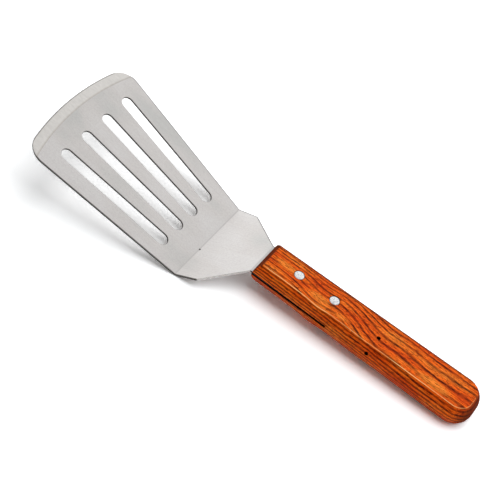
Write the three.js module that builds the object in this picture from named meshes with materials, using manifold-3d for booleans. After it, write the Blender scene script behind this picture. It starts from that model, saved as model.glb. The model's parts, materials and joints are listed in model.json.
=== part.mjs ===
// A slotted kitchen turner. One stamped stainless sheet makes the blade, the neck and the tang.
// The tang sits in a saw slot in the front of a wooden handle, and two solid rivets hold it there.
//
// Millimetres, +Z up. +X runs from the blade's front edge to the handle's end, and the turner is
// mirror symmetric across Y = 0. It lies as it is put down on a worktop, on the heel of its blade
// and the lower edge of its handle's end. The origin is at the middle of the room it takes up there.

import * as THREE from 'three';
import { mergeVertices } from 'three/addons/utils/BufferGeometryUtils.js';
import Module from 'manifold-3d';

// Sheet steel
const SHEET_THICKNESS = 1;
const HEEL_BEND_DEG = 40;
const HEEL_BEND_RADIUS = 1.5;
const SHOULDER_BEND_DEG = 25;
const SHOULDER_BEND_RADIUS = 1.5;

// Blade, measured on the flat from the heel's bend line
const BLADE_LENGTH = 99.3;
const HEEL_WIDTH = 60.9;
const BLADE_FRONT_WIDTH = 86.4;
const FRONT_EDGE_RADIUS = 166;
const FRONT_CORNER_RADIUS = 10.5;
const GROUND_EDGE_WIDTH = 6;
const GROUND_EDGE_THICKNESS = 0.4;

// Drain slots, which fan out from a point behind the heel
const SLOT_COUNT = 4;
const SLOT_WIDTH = 6.7;
const SLOT_HEEL_MARGIN = 14;
const SLOT_FRONT_MARGIN = 16.9;
const SLOT_FAN_RADIUS = 188;
const SLOT_FAN_STEP_DEG = 3.75;

// Neck and tang
const NECK_LENGTH = 32;
const NECK_COLLAR_LENGTH = 11.9;
const NECK_COLLAR_WIDTH = 58.4;
const NECK_CORNER_RADIUS = 3;
const SHOULDER_TO_HANDLE = 0.9;
const TANG_RECESS = 0.45;
const TANG_PAST_RIVET = 3.4;

// Wooden handle
const HANDLE_LENGTH = 127;
const HANDLE_THICKNESS = 12.8;
const HANDLE_FRONT_WIDTH = 23.3;
const HANDLE_REAR_WIDTH = 26.7;
const HANDLE_REAR_CORNER_RADIUS = 10.5;
const HANDLE_SIDE_BULGE = 3;
const HANDLE_EDGE_EASE = 0.5;
const TANG_CLEARANCE = 0.25;
const TANG_END_CLEARANCE = 0.5;

// Rivets, with their places along the handle from its front
const FRONT_RIVET_STATION = 19.6;
const RIVET_SPACING = 21.4;
const RIVET_HEAD_DIAMETER = 5.2;
const RIVET_HEAD_DEPTH = 1.8;
const RIVET_SHANK_DIAMETER = 3.6;
const RIVET_CROWN = 0.15;
const RIVET_CLEARANCE = 0.25;

// How finely round shapes are divided
const ARC_SEGMENTS = 6;
const ROUND_SEGMENTS = 28;
const HANDLE_SIDE_SEGMENTS = 5;
const GRIND_SEGMENTS = 180;

// How far a cutting solid runs past what it cuts, and how near two corners are one
const OVERRUN = 3;
const SAME_POINT = 1e-5;

const rad = THREE.MathUtils.degToRad;
const wasm = await Module();
wasm.setup();

// A closed three.js geometry as a solid that can be joined and cut.
function solid(geometry) {
  const bare = geometry.clone();
  bare.deleteAttribute('normal');
  bare.deleteAttribute('uv');
  const merged = mergeVertices(bare, SAME_POINT);
  const mesh = new wasm.Mesh({
    numProp: 3,
    vertProperties: new Float32Array(merged.attributes.position.array),
    triVerts: new Uint32Array(merged.index.array),
  });
  return new wasm.Manifold(mesh);
}

// The solid as a three.js geometry again.
function geometryOf(body) {
  const mesh = body.getMesh();
  const geometry = new THREE.BufferGeometry();
  geometry.setAttribute('position', new THREE.BufferAttribute(new Float32Array(mesh.vertProperties), 3));
  geometry.setIndex(new THREE.BufferAttribute(new Uint32Array(mesh.triVerts), 1));
  geometry.computeVertexNormals();
  return geometry;
}

// A direction in the side view, by its angle above the handle's axis.
const sideDirection = (degrees) => new THREE.Vector2(Math.cos(rad(degrees)), Math.sin(rad(degrees)));

// The sheet's middle line in the side view. The handle's front face is at x = 0 and the tang lies on
// z = 0. The neck drops away from the shoulder's bend line, and the blade rises from the heel's.
const neckDirection = sideDirection(180 + SHOULDER_BEND_DEG);
const bladeDirection = sideDirection(180 + SHOULDER_BEND_DEG - HEEL_BEND_DEG);
const shoulder = new THREE.Vector2(-SHOULDER_TO_HANDLE, 0);
const heel = shoulder.clone().addScaledVector(neckDirection, NECK_LENGTH);
const rivetStations = {
  rivet_front: FRONT_RIVET_STATION,
  rivet_rear: FRONT_RIVET_STATION + RIVET_SPACING,
};
const tangEnd = rivetStations.rivet_rear + TANG_PAST_RIVET;
const tangWidth = HANDLE_FRONT_WIDTH - 2 * TANG_RECESS;

// The round part of a bend between two flats of the sheet: its centre, and its middle line's radius.
function bend(corner, from, to, degrees, insideRadius) {
  const radius = insideRadius + SHEET_THICKNESS / 2;
  const inward = from.clone().add(to).normalize();
  const centre = corner.clone().addScaledVector(inward, radius / Math.cos(rad(degrees) / 2));
  return { centre, radius };
}
const tangDirection = new THREE.Vector2(1, 0);
const backAlongNeck = neckDirection.clone().negate();
const shoulderBend = bend(shoulder, tangDirection, neckDirection, SHOULDER_BEND_DEG, SHOULDER_BEND_RADIUS);
const heelBend = bend(heel, backAlongNeck, bladeDirection, HEEL_BEND_DEG, HEEL_BEND_RADIUS);

// The sheet's side view, run along its upper face from the tang to the blade and back underneath.
function sheetSection() {
  const half = SHEET_THICKNESS / 2;
  const bladeEnd = heel.clone().addScaledVector(bladeDirection, BLADE_LENGTH + OVERRUN);
  const bladeUp = sideDirection(90 + SHOULDER_BEND_DEG - HEEL_BEND_DEG);
  const upAngle = Math.PI / 2;
  const neckUpAngle = upAngle + rad(SHOULDER_BEND_DEG);
  const bladeUpAngle = neckUpAngle - rad(HEEL_BEND_DEG);
  const turn = (shape, at, radius, from, to) => {
    shape.absarc(at.centre.x, at.centre.y, radius, from, to, to < from);
  };
  const shape = new THREE.Shape();
  shape.moveTo(tangEnd + OVERRUN, -half);
  shape.lineTo(tangEnd + OVERRUN, half);
  turn(shape, shoulderBend, shoulderBend.radius + half, upAngle, neckUpAngle);
  turn(shape, heelBend, heelBend.radius - half, neckUpAngle + Math.PI, bladeUpAngle + Math.PI);
  shape.lineTo(bladeEnd.x + bladeUp.x * half, bladeEnd.y + bladeUp.y * half);
  shape.lineTo(bladeEnd.x - bladeUp.x * half, bladeEnd.y - bladeUp.y * half);
  turn(shape, heelBend, heelBend.radius + half, bladeUpAngle + Math.PI, neckUpAngle + Math.PI);
  turn(shape, shoulderBend, shoulderBend.radius - half, neckUpAngle, upAngle);
  shape.closePath();
  return shape;
}

// The bent strip from which the blade, neck and tang are stamped, wider than any of them.
function bentStrip() {
  const width = Math.max(BLADE_FRONT_WIDTH, HEEL_WIDTH, NECK_COLLAR_WIDTH, tangWidth) + 2 * OVERRUN;
  const strip = new THREE.ExtrudeGeometry(sheetSection(), {
    depth: width,
    bevelEnabled: false,
    curveSegments: ARC_SEGMENTS,
  });
  strip.translate(0, 0, -width / 2);
  strip.rotateX(Math.PI / 2);
  return solid(strip);
}

// An outline drawn flat (u along the sheet, v across it) as a punch that stands square to the sheet
// at the bend line where u is 0. Each outline runs a little past that line, so that the punches of
// two flats leave no wedge between them on the outside of the bend.
const bendOverlap = SHEET_THICKNESS / 2;
function punch(outline, origin, direction) {
  const height = 2 * (HEEL_BEND_RADIUS + SHOULDER_BEND_RADIUS + SHEET_THICKNESS);
  const stamped = new THREE.ExtrudeGeometry(outline, {
    depth: height,
    bevelEnabled: false,
    curveSegments: ARC_SEGMENTS,
  });
  stamped.translate(0, 0, -height / 2);
  const along = new THREE.Vector3(direction.x, 0, direction.y);
  const across = new THREE.Vector3(0, 1, 0);
  const normal = along.clone().cross(across);
  const place = new THREE.Matrix4().makeBasis(along, across, normal);
  place.setPosition(origin.x, 0, origin.y);
  return solid(stamped.applyMatrix4(place));
}

// Where the corner of radius FRONT_CORNER_RADIUS touches the blade's straight side and round front.
function frontCorner() {
  const sideStart = new THREE.Vector2(0, HEEL_WIDTH / 2);
  const along = new THREE.Vector2(BLADE_LENGTH, (BLADE_FRONT_WIDTH - HEEL_WIDTH) / 2).normalize();
  const inward = new THREE.Vector2(along.y, -along.x);
  const frontCentre = new THREE.Vector2(BLADE_LENGTH - FRONT_EDGE_RADIUS, 0);
  const offsetStart = sideStart.clone().addScaledVector(inward, FRONT_CORNER_RADIUS);
  const toStart = offsetStart.clone().sub(frontCentre);
  const reach = FRONT_EDGE_RADIUS - FRONT_CORNER_RADIUS;
  const half = toStart.dot(along);
  const run = -half + Math.sqrt(half * half - toStart.lengthSq() + reach * reach);
  const centre = offsetStart.addScaledVector(along, run);
  const sideAngle = Math.atan2(-inward.y, -inward.x);
  const frontAngle = Math.atan2(centre.y, centre.x - frontCentre.x);
  return { centre, sideAngle, frontAngle, frontCentre };
}

// One drain slot: a straight slot with round ends that points at the fan's centre.
function drainSlot(degrees) {
  const radius = SLOT_WIDTH / 2;
  const slope = Math.tan(rad(degrees));
  const startU = SLOT_HEEL_MARGIN + radius;
  const endU = BLADE_LENGTH - SLOT_FRONT_MARGIN - radius;
  const startV = (SLOT_FAN_RADIUS + startU) * slope;
  const endV = (SLOT_FAN_RADIUS + endU) * slope;
  const angle = rad(degrees);
  const path = new THREE.Path();
  path.absarc(endU, endV, radius, angle - Math.PI / 2, angle + Math.PI / 2, false);
  path.absarc(startU, startV, radius, angle + Math.PI / 2, angle + (3 * Math.PI) / 2, false);
  path.closePath();
  return path;
}

function bladePunch() {
  const corner = frontCorner();
  const { centre, frontCentre } = corner;
  const outline = new THREE.Shape();
  outline.moveTo(-bendOverlap, -HEEL_WIDTH / 2);
  outline.lineTo(0, -HEEL_WIDTH / 2);
  outline.absarc(centre.x, -centre.y, FRONT_CORNER_RADIUS, -corner.sideAngle, -corner.frontAngle, false);
  outline.absarc(frontCentre.x, 0, FRONT_EDGE_RADIUS, -corner.frontAngle, corner.frontAngle, false);
  outline.absarc(centre.x, centre.y, FRONT_CORNER_RADIUS, corner.frontAngle, corner.sideAngle, false);
  outline.lineTo(0, HEEL_WIDTH / 2);
  outline.lineTo(-bendOverlap, HEEL_WIDTH / 2);
  outline.closePath();
  for (let i = 0; i < SLOT_COUNT; i += 1) {
    outline.holes.push(drainSlot((i - (SLOT_COUNT - 1) / 2) * SLOT_FAN_STEP_DEG));
  }
  return punch(outline, heel, bladeDirection);
}

// The neck's outline keeps nearly the heel's width for a short collar, then tapers to the tang.
function neckPunch() {
  const collar = new THREE.Vector2(NECK_COLLAR_LENGTH, NECK_COLLAR_WIDTH / 2);
  const heelEdge = new THREE.Vector2(0, HEEL_WIDTH / 2);
  const tangEdge = new THREE.Vector2(NECK_LENGTH, tangWidth / 2);
  const back = heelEdge.clone().sub(collar).normalize();
  const ahead = tangEdge.clone().sub(collar).normalize();
  const halfAngle = Math.acos(back.dot(ahead)) / 2;
  const reach = NECK_CORNER_RADIUS / Math.tan(halfAngle);
  const roundStart = collar.clone().addScaledVector(back, reach);
  const roundEnd = collar.clone().addScaledVector(ahead, reach);
  const outline = new THREE.Shape();
  outline.moveTo(-bendOverlap, -heelEdge.y);
  outline.lineTo(0, -heelEdge.y);
  outline.lineTo(roundStart.x, -roundStart.y);
  outline.quadraticCurveTo(collar.x, -collar.y, roundEnd.x, -roundEnd.y);
  outline.lineTo(tangEdge.x, -tangEdge.y);
  outline.lineTo(tangEdge.x + bendOverlap, -tangEdge.y);
  outline.lineTo(tangEdge.x + bendOverlap, tangEdge.y);
  outline.lineTo(tangEdge.x, tangEdge.y);
  outline.lineTo(roundEnd.x, roundEnd.y);
  outline.quadraticCurveTo(collar.x, collar.y, roundStart.x, roundStart.y);
  outline.lineTo(0, heelEdge.y);
  outline.lineTo(-bendOverlap, heelEdge.y);
  outline.closePath();
  return punch(outline, heel, backAlongNeck);
}

function tangPunch() {
  const outline = new THREE.Shape();
  const start = -bendOverlap;
  const end = tangEnd - shoulder.x;
  outline.moveTo(start, -tangWidth / 2);
  outline.lineTo(end, -tangWidth / 2);
  outline.lineTo(end, tangWidth / 2);
  outline.lineTo(start, tangWidth / 2);
  outline.closePath();
  return punch(outline, shoulder, tangDirection);
}

// The grinding wheel's path: a ring round the centre of the front edge's arc, which thins the
// blade's upper face over GROUND_EDGE_WIDTH down to GROUND_EDGE_THICKNESS.
function edgeGrinding() {
  const top = SHEET_THICKNESS / 2;
  const fall = (SHEET_THICKNESS - GROUND_EDGE_THICKNESS) / GROUND_EDGE_WIDTH;
  const inner = FRONT_EDGE_RADIUS - GROUND_EDGE_WIDTH;
  const outer = FRONT_EDGE_RADIUS + OVERRUN;
  const ring = new THREE.LatheGeometry(
    [
      new THREE.Vector2(inner, top),
      new THREE.Vector2(outer, top - fall * (outer - inner)),
      new THREE.Vector2(outer, top + OVERRUN),
      new THREE.Vector2(inner, top + OVERRUN),
      new THREE.Vector2(inner, top),
    ],
    GRIND_SEGMENTS,
  );
  const centre = heel.clone().addScaledVector(bladeDirection, BLADE_LENGTH - FRONT_EDGE_RADIUS);
  ring.rotateX(Math.PI / 2);
  ring.rotateY(rad(HEEL_BEND_DEG - SHOULDER_BEND_DEG));
  ring.translate(centre.x, 0, centre.y);
  return solid(ring);
}

// A rivet's profile from its axis out: a shank and two heads, each with a low crown that stands just
// proud of the wood. With room added all round it is the stepped hole that takes the rivet.
function rivetProfile(room) {
  const shank = RIVET_SHANK_DIAMETER / 2 + room;
  const head = RIVET_HEAD_DIAMETER / 2 + room;
  const face = HANDLE_THICKNESS / 2 + room;
  const seat = HANDLE_THICKNESS / 2 - RIVET_HEAD_DEPTH - room;
  return [
    new THREE.Vector2(0, -face - RIVET_CROWN),
    new THREE.Vector2(head, -face),
    new THREE.Vector2(head, -seat),
    new THREE.Vector2(shank, -seat),
    new THREE.Vector2(shank, seat),
    new THREE.Vector2(head, seat),
    new THREE.Vector2(head, face),
    new THREE.Vector2(0, face + RIVET_CROWN),
  ];
}

function rivetGeometry(room) {
  const rivet = new THREE.LatheGeometry(rivetProfile(room), ROUND_SEGMENTS);
  rivet.rotateX(Math.PI / 2);
  return rivet;
}

function cutRivetHoles(body) {
  let cut = body;
  for (const station of Object.values(rivetStations)) {
    cut = cut.subtract(solid(rivetGeometry(RIVET_CLEARANCE).translate(station, 0, 0)));
  }
  return cut;
}

function bladeGeometry() {
  const outline = bladePunch().add(neckPunch()).add(tangPunch());
  const sheet = bentStrip().intersect(outline).subtract(edgeGrinding());
  return geometryOf(cutRivetHoles(sheet));
}

// The handle seen from above, drawn in by an inset all round: straight sides that spread a little
// towards a round rear end. The end's corners are no rounder than its width allows.
function handleOutline(inset) {
  const front = HANDLE_FRONT_WIDTH / 2;
  const slope = (HANDLE_REAR_WIDTH / 2 - front) / HANDLE_LENGTH;
  const spread = Math.atan(slope);
  const roundest = (front + slope * HANDLE_LENGTH) / (1 / Math.cos(spread) + slope);
  const corner = Math.min(HANDLE_REAR_CORNER_RADIUS, roundest);
  const centreX = HANDLE_LENGTH - corner;
  const centreY = front + slope * centreX - corner / Math.cos(spread);
  const frontY = front + slope * inset - inset / Math.cos(spread);
  const sideAngle = Math.PI / 2 + spread;
  const outline = new THREE.Shape();
  outline.moveTo(inset, frontY);
  outline.lineTo(inset, -frontY);
  outline.absarc(centreX, -centreY, corner - inset, -sideAngle, 0, false);
  outline.absarc(centreX, centreY, corner - inset, 0, sideAngle, false);
  return outline.getPoints(ARC_SEGMENTS);
}

// The handle's side view of one edge: how far each level lies inside the widest one. One cutter
// shapes the wood all round, so its sides and ends bulge, and its flat faces end in eased edges.
const handleTop = HANDLE_THICKNESS / 2;
const sideRadius = (handleTop ** 2 + HANDLE_SIDE_BULGE ** 2) / (2 * HANDLE_SIDE_BULGE);
const bulgeInset = (height) => sideRadius - Math.sqrt(sideRadius ** 2 - height ** 2);
const easeStart = handleTop - HANDLE_EDGE_EASE;
const faceInset = bulgeInset(easeStart) + HANDLE_EDGE_EASE;

// A closed body through outlines with as many points each, from the lowest to the highest.
function loft(levels) {
  const count = levels[0].outline.length;
  const positions = levels.flatMap(({ outline, height }) => outline.flatMap(({ x, y }) => [x, y, height]));
  const indices = [];
  for (let level = 0; level < levels.length - 1; level += 1) {
    for (let i = 0; i < count; i += 1) {
      const low = level * count + i;
      const lowNext = level * count + ((i + 1) % count);
      indices.push(low, lowNext, lowNext + count, low, lowNext + count, low + count);
    }
  }
  const highest = (levels.length - 1) * count;
  for (const [a, b, c] of THREE.ShapeUtils.triangulateShape(levels[0].outline, [])) {
    indices.push(c, b, a);
    indices.push(highest + a, highest + b, highest + c);
  }
  const body = new THREE.BufferGeometry();
  body.setAttribute('position', new THREE.Float32BufferAttribute(positions, 3));
  body.setIndex(indices);
  return body;
}

function handleGeometry() {
  const levels = [{ height: -handleTop, inset: faceInset }];
  const steepest = Math.asin(easeStart / sideRadius);
  for (let i = -HANDLE_SIDE_SEGMENTS; i <= HANDLE_SIDE_SEGMENTS; i += 1) {
    const height = sideRadius * Math.sin((steepest * i) / HANDLE_SIDE_SEGMENTS);
    levels.push({ height, inset: bulgeInset(height) });
  }
  levels.push({ height: handleTop, inset: faceInset });
  const blank = loft(levels.map(({ height, inset }) => ({ height, outline: handleOutline(inset) })));
  const slotLength = tangEnd + TANG_END_CLEARANCE;
  const slotWidth = Math.max(HANDLE_FRONT_WIDTH, HANDLE_REAR_WIDTH) + 2 * OVERRUN;
  const slotHeight = SHEET_THICKNESS + 2 * TANG_CLEARANCE;
  const sawSlot = new THREE.BoxGeometry(slotLength + OVERRUN, slotWidth, slotHeight);
  sawSlot.translate((slotLength - OVERRUN) / 2, 0, 0);
  return geometryOf(cutRivetHoles(solid(blank).subtract(solid(sawSlot))));
}

const stainless = new THREE.MeshStandardMaterial({ color: 0xd3d1cd, roughness: 0.35, metalness: 1 });
const hardwood = new THREE.MeshStandardMaterial({ color: 0xb4520f, roughness: 0.4, metalness: 0 });
const aluminium = new THREE.MeshStandardMaterial({ color: 0xd9dcde, roughness: 0.45, metalness: 1 });

function part(name, geometry, material) {
  const mesh = new THREE.Mesh(geometry, material);
  mesh.name = name;
  return mesh;
}

const assembly = new THREE.Group();
assembly.add(part('blade', bladeGeometry(), stainless));
assembly.add(part('handle', handleGeometry(), hardwood));
for (const [name, station] of Object.entries(rivetStations)) {
  const rivet = part(name, geometryOf(solid(rivetGeometry(0))), aluminium);
  rivet.position.x = station;
  assembly.add(rivet);
}

// At rest the worktop touches the outside of the heel's bend and the lower edge of the handle's end,
// so the whole turner is turned until those two are level.
const handleFoot = new THREE.Vector2(HANDLE_LENGTH - faceInset, -handleTop);
const footFromHeel = handleFoot.clone().sub(heelBend.centre);
const heelOutside = HEEL_BEND_RADIUS + SHEET_THICKNESS;
assembly.rotation.y = footFromHeel.angle() + Math.asin(heelOutside / footFromHeel.length());

const turner = new THREE.Group();
turner.add(assembly);
turner.updateMatrixWorld(true);
const room = new THREE.Box3().setFromObject(turner, true);
assembly.position.set(-(room.min.x + room.max.x) / 2, 0, -room.min.z);

export default turner;
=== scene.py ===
# A slotted kitchen turner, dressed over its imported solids. Its sizes are millimetres in the handle's own
# frame: +X runs back along the handle from its front face, +Y goes across it and +Z stands on its top.
# The studio is in metres.
import json
import math

import bmesh
import bpy
from mathutils import Matrix, Quaternion, Vector, noise


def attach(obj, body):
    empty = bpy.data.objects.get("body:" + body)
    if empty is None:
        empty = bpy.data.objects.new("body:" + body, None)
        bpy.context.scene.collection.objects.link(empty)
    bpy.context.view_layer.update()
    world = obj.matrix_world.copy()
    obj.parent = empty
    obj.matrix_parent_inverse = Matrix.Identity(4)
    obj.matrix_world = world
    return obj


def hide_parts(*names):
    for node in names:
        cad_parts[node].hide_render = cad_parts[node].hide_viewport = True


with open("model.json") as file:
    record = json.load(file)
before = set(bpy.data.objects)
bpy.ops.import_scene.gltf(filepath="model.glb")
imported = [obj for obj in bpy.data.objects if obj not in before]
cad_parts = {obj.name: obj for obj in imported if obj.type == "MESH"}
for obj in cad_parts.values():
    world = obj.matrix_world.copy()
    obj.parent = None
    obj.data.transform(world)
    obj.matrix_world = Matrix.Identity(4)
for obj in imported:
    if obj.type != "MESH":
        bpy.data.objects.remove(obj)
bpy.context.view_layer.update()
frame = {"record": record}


# Blade: one stamped sheet of satin stainless steel is the blade, the neck and the tang in one. It is
# cut flat, ground thin along its front edge and tumbled, then bent at the heel and at the shoulder.
# Its tang slides into the handle's saw slot, where two rivets hold it.
MM = 0.001
SHEET_THICKNESS = 1.0
HEEL_BEND_DEG = 40.0
HEEL_BEND_RADIUS = 1.5
SHOULDER_BEND_DEG = 25.0
SHOULDER_BEND_RADIUS = 1.5
BLADE_LENGTH = 99.3
HEEL_WIDTH = 60.9
BLADE_FRONT_WIDTH = 86.4
FRONT_EDGE_RADIUS = 166.0
FRONT_CORNER_RADIUS = 10.5
GROUND_EDGE_WIDTH = 6.0
GROUND_EDGE_THICKNESS = 0.4
SLOT_WIDTH = 6.7
SLOT_HEEL_MARGIN = 14.0
SLOT_FRONT_MARGIN = 16.9
SLOT_FAN_RADIUS = 188.0
SLOT_FAN_STEP_DEG = 3.75
SLOTS_EACH_SIDE = 2
NECK_LENGTH = 32.0
NECK_COLLAR_LENGTH = 11.9
NECK_COLLAR_WIDTH = 58.4
NECK_CORNER_RADIUS = 3.0
SHOULDER_TO_HANDLE = 0.9
TANG_WIDTH = 22.4
TANG_END = 44.4
TANG_HOLE_RADIUS = 2.05
RIVET_STATIONS = {"rivet_front": 19.6, "rivet_rear": 41.0}
TUMBLED_EDGE = 0.18
TUMBLED_STEPS = 2
TUMBLED_FROM_DEG = 60
# How far in from the outline the steel is painted darker as shade.
RIM_SHADE_WIDTH = 0.65
PRESS_PIT_PLACE = (-29.8, -7.8, -12.9)
PRESS_PIT_RADIUS = 0.65
FRONT_STEPS = 28
CORNER_STEPS = 5
SLOT_END_STEPS = 14
HOLE_SIDES = 32
BEND_STEPS = 8
NEAR = 0.001
CUT_NEAR = NEAR / 10
FLAT_ENOUGH = 0.95
LEVEL_WITHIN_DEG = 1
CREASED_FROM_DEG = 35

# Sizes of the marks on the steel, along, across and up.
SATIN_LINE = (40, 0.5, 40)
SATIN_SPECK = (0.9, 0.7, 0.9)
SATIN_CLOUD = (34, 18, 34)
SATIN_CLOUD_SEED = 8.3
TORN_PIT = (0.5, 0.5, 0.25)
WHEEL_MARK = (3, 1.2, 3)
LIT_EDGE_MARK = (1.5, 0.5, 0.5)
SHADE_STREAK = (3, 0.5, 0.5)

# The handle's two flat faces are mounts of the frame, at this station, and give its place and tilt.
MOUNT_STATION = 85.0
mounts = {mount["name"]: mount for mount in frame["record"]["mounts"]}
handle_up = Vector(mounts["handle_top"]["axis"])
handle_middle = (Vector(mounts["handle_top"]["pos_m"]) + Vector(mounts["handle_underside"]["pos_m"])) / 2
handle_tilt = math.atan2(handle_up.x, handle_up.z)
handle_turn = Matrix.Rotation(handle_tilt, 4, "Y")
handle_origin = handle_middle - handle_turn @ Vector((MOUNT_STATION * MM, 0, 0))
handle_place = Matrix.Translation(handle_origin) @ handle_turn @ Matrix.Scale(MM, 4)


def carry_round(bm, vert, centre, angle, steps):
    """Draws an arc: carries a vertex round a centre on the flat, and returns the vertex that it ends at."""
    arc = bmesh.ops.spin(bm, geom=[vert], cent=(*centre, 0), axis=(0, 0, 1), angle=angle, steps=steps)
    return next(item for item in arc["geom_last"] if isinstance(item, bmesh.types.BMVert))


def run_to(bm, vert, point):
    """Draws a straight edge from a vertex to a point on the flat, and returns the new vertex."""
    end = bm.verts.new((*point, 0))
    bm.edges.new((vert, end))
    return end


def finished_piece(bm, name, materials):
    """Puts a mesh drawn in the handle's frame in its place, as the piece that stands for its node."""
    bmesh.ops.transform(bm, matrix=handle_place, verts=bm.verts)
    mesh = bpy.data.meshes.new(name)
    bm.to_mesh(mesh)
    bm.free()
    mesh.shade_smooth()
    mesh.set_sharp_from_angle(angle=math.radians(CREASED_FROM_DEG))
    for material in materials:
        mesh.materials.append(material)
    piece = bpy.data.objects.new(name + "_finished", mesh)
    bpy.context.scene.collection.objects.link(piece)
    weighting = piece.modifiers.new("flat faces stay flat", "WEIGHTED_NORMAL")
    weighting.keep_sharp = True
    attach(piece, "root")
    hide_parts(name)


# The flat blank points forward along +X from the handle's front face, with its middle on Z = 0. A
# bend takes up its arc on the flat, and its corner lies at the meeting of the two flats beside it.
heel_radius = HEEL_BEND_RADIUS + SHEET_THICKNESS / 2
heel_angle = math.radians(HEEL_BEND_DEG)
heel_arc = heel_radius * heel_angle
heel_reach = heel_radius * math.tan(heel_angle / 2)
shoulder_radius = SHOULDER_BEND_RADIUS + SHEET_THICKNESS / 2
shoulder_angle = math.radians(SHOULDER_BEND_DEG)
shoulder_arc = shoulder_radius * shoulder_angle
shoulder_reach = shoulder_radius * math.tan(shoulder_angle / 2)
shoulder_start = SHOULDER_TO_HANDLE - shoulder_reach
heel_start = shoulder_start + shoulder_arc + NECK_LENGTH - shoulder_reach - heel_reach
neck_zero = heel_start + heel_reach
blade_zero = heel_start + heel_arc - heel_reach

# The blade's front corner touches its straight side and its round front.
side_run = Vector((BLADE_LENGTH, (BLADE_FRONT_WIDTH - HEEL_WIDTH) / 2)).normalized()
side_inward = Vector((side_run.y, -side_run.x))
front_centre = Vector((blade_zero + BLADE_LENGTH - FRONT_EDGE_RADIUS, 0))
corner_line = Vector((blade_zero, HEEL_WIDTH / 2)) + side_inward * FRONT_CORNER_RADIUS - front_centre
corner_reach = FRONT_EDGE_RADIUS - FRONT_CORNER_RADIUS
along = corner_line.dot(side_run)
corner_run = math.sqrt(along ** 2 - corner_line.length_squared + corner_reach ** 2) - along
corner_arm = corner_line + side_run * corner_run
corner_centre = front_centre + corner_arm
front_turn = math.atan2(corner_arm.y, corner_arm.x)
corner_turn = math.atan2(-side_inward.y, -side_inward.x) - front_turn
ground_radius = FRONT_EDGE_RADIUS - GROUND_EDGE_WIDTH
ground_square = ground_radius ** 2 - corner_reach ** 2 - FRONT_CORNER_RADIUS ** 2
ground_turn = math.acos(ground_square / (2 * corner_reach * FRONT_CORNER_RADIUS))

# Where the centre of the round front comes to lie in the handle's frame, once the blade is bent.
neck_drop = Vector((-math.cos(shoulder_angle), 0, -math.sin(shoulder_angle))) * NECK_LENGTH
blade_rise = heel_angle - shoulder_angle
blade_run = Vector((-math.cos(blade_rise), 0, math.sin(blade_rise)))
front_arm = blade_run * (BLADE_LENGTH - FRONT_EDGE_RADIUS)
grind_centre = Vector((-SHOULDER_TO_HANDLE, 0, 0)) + neck_drop + front_arm

# Half of the outline, from the middle of the front edge round to the middle of the tang's end.
blank = bmesh.new()
at = blank.verts.new((blade_zero + BLADE_LENGTH, 0, 0))
at = carry_round(blank, at, front_centre, front_turn, FRONT_STEPS)
at = carry_round(blank, at, corner_centre, ground_turn, CORNER_STEPS)
ground_arm = at.co.xy - front_centre
carry_round(blank, at, front_centre, -math.atan2(ground_arm.y, ground_arm.x), FRONT_STEPS)
at = carry_round(blank, at, corner_centre, corner_turn - ground_turn, CORNER_STEPS)
heel_corner = Vector((heel_start + heel_arc / 2, HEEL_WIDTH / 2))
collar_corner = Vector((neck_zero - NECK_COLLAR_LENGTH, NECK_COLLAR_WIDTH / 2))
shoulder_corner = Vector((neck_zero - NECK_LENGTH, TANG_WIDTH / 2))
collar_run = (collar_corner - heel_corner).normalized()
taper_run = (shoulder_corner - collar_corner).normalized()
taper_turn = math.acos(collar_run.dot(taper_run))
round_start = collar_corner - collar_run * NECK_CORNER_RADIUS * math.tan(taper_turn / 2)
round_centre = round_start + Vector((-collar_run.y, collar_run.x)) * NECK_CORNER_RADIUS
at = run_to(blank, at, heel_corner)
at = run_to(blank, at, round_start)
at = carry_round(blank, at, round_centre, taper_turn, CORNER_STEPS)
at = run_to(blank, at, shoulder_corner)
at = run_to(blank, at, (-TANG_END, TANG_WIDTH / 2))
run_to(blank, at, (-TANG_END, 0))
# A layer that marks the outline, along which the steel is painted darker as shade.
rim_shade = blank.verts.layers.float.new("rim_shade")
for vert in blank.verts:
    vert[rim_shade] = 1

# Each drain slot is straight with round ends, and points at the fan's centre behind the heel.
for step in range(SLOTS_EACH_SIDE):
    slant = math.radians((step + 0.5) * SLOT_FAN_STEP_DEG)
    slot_side = Vector((-math.sin(slant), math.cos(slant))) * SLOT_WIDTH / 2
    heel_end = SLOT_HEEL_MARGIN + SLOT_WIDTH / 2
    front_end = BLADE_LENGTH - SLOT_FRONT_MARGIN - SLOT_WIDTH / 2
    slot_heel = Vector((blade_zero + heel_end, (SLOT_FAN_RADIUS + heel_end) * math.tan(slant)))
    slot_front = Vector((blade_zero + front_end, (SLOT_FAN_RADIUS + front_end) * math.tan(slant)))
    start = blank.verts.new((*(slot_front - slot_side), 0))
    at = carry_round(blank, start, slot_front, math.pi, SLOT_END_STEPS)
    at = run_to(blank, at, slot_heel + slot_side)
    at = carry_round(blank, at, slot_heel, math.pi, SLOT_END_STEPS)
    blank.edges.new((at, start))
bmesh.ops.mirror(blank, geom=blank.verts[:] + blank.edges[:], axis="Y", merge_dist=NEAR)
for station in RIVET_STATIONS.values():
    bmesh.ops.create_circle(
        blank, segments=HOLE_SIDES, radius=TANG_HOLE_RADIUS, matrix=Matrix.Translation((-station, 0, 0))
    )


def past_grind_line(point):
    """How far a point of the blank lies ahead of the line where the front edge's grinding starts."""
    return (point.xy - front_centre).length - ground_radius


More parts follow.
